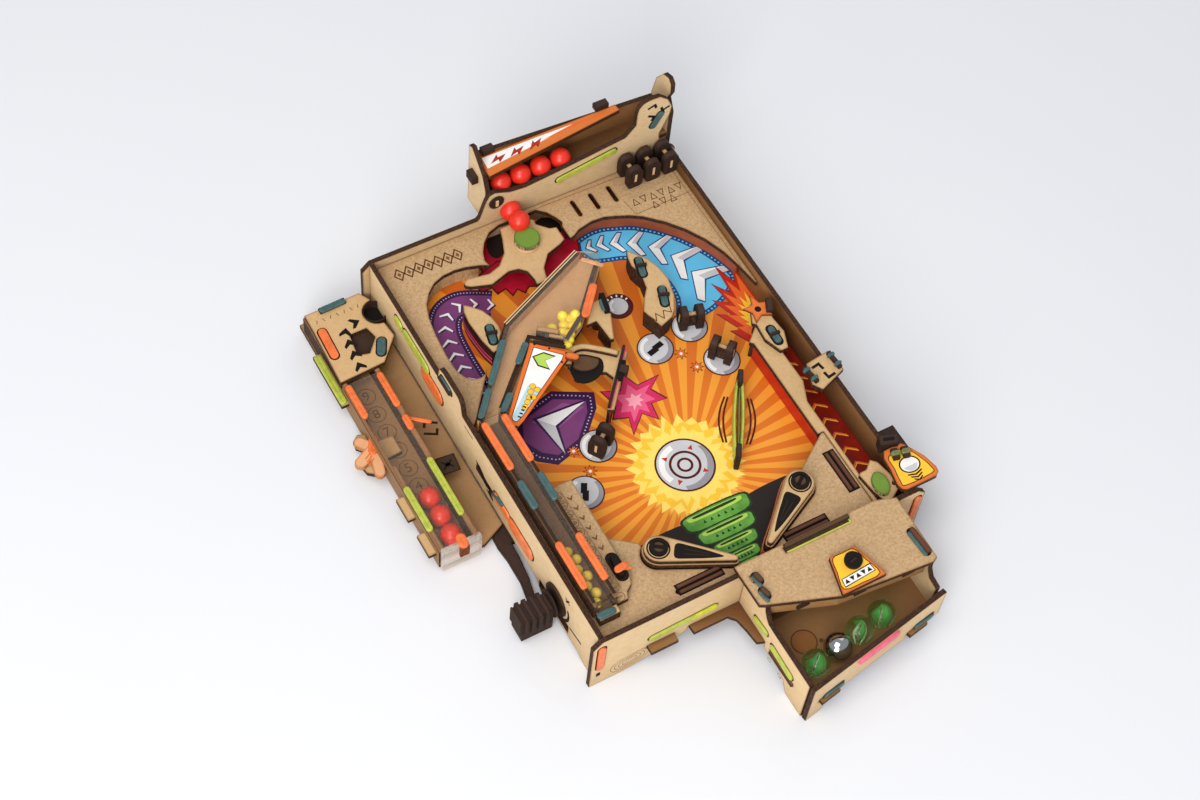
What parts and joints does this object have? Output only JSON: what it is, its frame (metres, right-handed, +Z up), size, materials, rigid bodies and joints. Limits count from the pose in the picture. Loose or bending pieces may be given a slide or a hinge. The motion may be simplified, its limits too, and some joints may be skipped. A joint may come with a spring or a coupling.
{
  "type": "tabletop_pinball_game",
  "caption": "Tabletop pinball game built from laser-cut wooden sheets, with turning flippers, launcher, levers, plug-in pegs, marbles and small ball channels",
  "frame": {"origin": "centre of the footprint on the table, at the height of the feet", "axes": "+X to the right as the player stands, +Y away from the player along the longest side, +Z up"},
  "size_m": [0.2818, 0.375, 0.102],
  "materials": {
    "ply": "bare birch ply, satin",
    "fibreboard": "fibreboard, satin",
    "dark_board": "dark stained board, matt",
    "print": "printed board, satin",
    "clear": "clear sheet",
    "glass": "coloured glass",
    "steel": "polished steel"
  },
  "bodies": {
    "case": {"arch_guide": "print", "back_wall": "ply", "base_plate": "fibreboard", "bridge_plate": "ply", "bumper_post_1": "dark_board", "bumper_post_2": "dark_board", "cover_plate": "fibreboard", "front_wall": "ply", "guide_plate": "ply", "island_plate": "ply", "lane_divider": "ply", "left_deck": "fibreboard", "left_lane_guide": "fibreboard", "left_wall": "ply", "playfield_board": "print", "refill_channel": "ply", "refill_end_plate": "clear", "refill_top_plate": "ply", "right_deck": "fibreboard", "right_wall": "ply", "scale_plate": "fibreboard", "score_channel": "ply", "top_board": "fibreboard", "tower_back_wall": "fibreboard", "tower_left_side": "ply", "tower_right_side": "ply", "tower_roof": "print", "tower_trough": "fibreboard", "tray_front_wall": "ply", "tray_left_wall": "ply", "tray_lip": "fibreboard", "tray_right_wall": "ply", "vault_back_wall": "fibreboard", "vault_channel_wall": "fibreboard", "vault_floor": "fibreboard", "vault_front_wall": "fibreboard", "vault_label_plate": "print", "vault_roof": "clear"},
    "left_flipper": {"left_flipper": "ply"},
    "right_flipper": {"right_flipper": "ply"},
    "left_button": {"left_button": "dark_board"},
    "right_button": {"right_button": "dark_board"},
    "launcher": {"launcher_striker": "ply", "launcher_handle": "print"},
    "reset_lever": {"reset_lever": "print"},
    "release_lever": {"release_lever": "ply"},
    "deflector": {"deflector": "ply"},
    "target_rocker": {"target_rocker": "ply"},
    "bonus_lever": {"bonus_lever": "ply"},
    "refill_slide": {"refill_slide": "ply"},
    "plugged_peg_1": {"plugged_peg_1": "dark_board"},
    "plugged_peg_2": {"plugged_peg_2": "dark_board"},
    "plugged_peg_3": {"plugged_peg_3": "dark_board"},
    "stored_peg_1": {"stored_peg_1": "dark_board"},
    "stored_peg_2": {"stored_peg_2": "dark_board"},
    "stored_peg_3": {"stored_peg_3": "dark_board"},
    "marble_1": {"marble_1": "glass"},
    "marble_2": {"marble_2": "steel"},
    "marble_3": {"marble_3": "glass"},
    "marble_4": {"marble_4": "glass"}
  },
  "joints": [
    {"name": "left_flipper_turn", "type": "hinge", "parent": "case", "child": "left_flipper", "pos_m": [-0.03045, -0.0784, 0.043], "axis": [0, 0, 1], "range_deg": [0, 48], "stiffness_Nm_per_rad": 0.02, "springref_deg": -5.73},
    {"name": "right_flipper_turn", "type": "hinge", "parent": "case", "child": "right_flipper", "pos_m": [0.06105, -0.0784, 0.043], "axis": [0, 0, -1], "range_deg": [0, 48], "stiffness_Nm_per_rad": 0.02, "springref_deg": -5.73},
    {"name": "left_button_press", "type": "hinge", "parent": "case", "child": "left_button", "pos_m": [-0.07845, -0.0099, 0.0025], "axis": [0, 0, 1], "range_deg": [0, 3.6]},
    {"name": "right_button_press", "type": "hinge", "parent": "case", "child": "right_button", "pos_m": [0.11095, -0.0099, 0.0025], "axis": [0, 0, -1], "range_deg": [0, 3.6]},
    {"name": "launcher_pull", "type": "hinge", "parent": "case", "child": "launcher", "pos_m": [0.10095, -0.0999, 0.0448], "axis": [0, 0, 1], "range_deg": [-20, 0], "stiffness_Nm_per_rad": 0.02, "springref_deg": 5.73},
    {"name": "reset_turn", "type": "hinge", "parent": "case", "child": "reset_lever", "pos_m": [0.05685, -0.1368, 0.0545], "axis": [0, 0, 1], "range_deg": [-15, 15]},
    {"name": "release_turn", "type": "hinge", "parent": "case", "child": "release_lever", "pos_m": [0.00655, 0.1396, 0.0415], "axis": [0, 0, 1], "range_deg": [-8, 8]},
    {"name": "deflector_swing", "type": "hinge", "parent": "case", "child": "deflector", "pos_m": [0.10205, 0.0301, 0.0448], "axis": [0, 0, 1], "range_deg": [-20, 8], "stiffness_Nm_per_rad": 0.002},
    {"name": "target_rock", "type": "hinge", "parent": "case", "child": "target_rocker", "pos_m": [-0.00745, 0.0491, 0.0448], "axis": [0, 0, 1], "range_deg": [-6, 6], "stiffness_Nm_per_rad": 0.002},
    {"name": "bonus_swing", "type": "hinge", "parent": "case", "child": "bonus_lever", "pos_m": [0.02005, 0.0766, 0.0448], "axis": [0, 0, 1], "range_deg": [0, 12], "stiffness_Nm_per_rad": 0.002, "springref_deg": -1.15},
    {"name": "refill_press", "type": "slide", "parent": "case", "child": "refill_slide", "axis": [-1, 0, 0], "range_m": [0, 0.008], "stiffness_N_per_m": 20, "springref_m": -0.001},
    {"name": "plugged_peg_1_lift", "type": "slide", "parent": "case", "child": "plugged_peg_1", "axis": [0, 0, 1], "range_m": [0, 0.02]},
    {"name": "plugged_peg_2_lift", "type": "slide", "parent": "case", "child": "plugged_peg_2", "axis": [0, 0, 1], "range_m": [0, 0.02]},
    {"name": "plugged_peg_3_lift", "type": "slide", "parent": "case", "child": "plugged_peg_3", "axis": [0, 0, 1], "range_m": [0, 0.02]},
    {"name": "stored_peg_1_lift", "type": "slide", "parent": "case", "child": "stored_peg_1", "axis": [0, 0, 1], "range_m": [0, 0.02]},
    {"name": "stored_peg_2_lift", "type": "slide", "parent": "case", "child": "stored_peg_2", "axis": [0, 0, 1], "range_m": [0, 0.02]},
    {"name": "stored_peg_3_lift", "type": "slide", "parent": "case", "child": "stored_peg_3", "axis": [0, 0, 1], "range_m": [0, 0.02]},
    {"name": "marble_1_lift", "type": "slide", "parent": "case", "child": "marble_1", "axis": [0, -0.1, 0.995], "range_m": [0, 0.05]},
    {"name": "marble_2_lift", "type": "slide", "parent": "case", "child": "marble_2", "axis": [0, -0.1, 0.995], "range_m": [0, 0.05]},
    {"name": "marble_3_lift", "type": "slide", "parent": "case", "child": "marble_3", "axis": [0, -0.1, 0.995], "range_m": [0, 0.05]},
    {"name": "marble_4_lift", "type": "slide", "parent": "case", "child": "marble_4", "axis": [0, -0.1, 0.995], "range_m": [0, 0.05]}
  ],
  "couplings": [
    {"joint": "left_button_press", "follows": "left_flipper_turn", "ratio": 0.075},
    {"joint": "right_button_press", "follows": "right_flipper_turn", "ratio": 0.075}
  ]
}
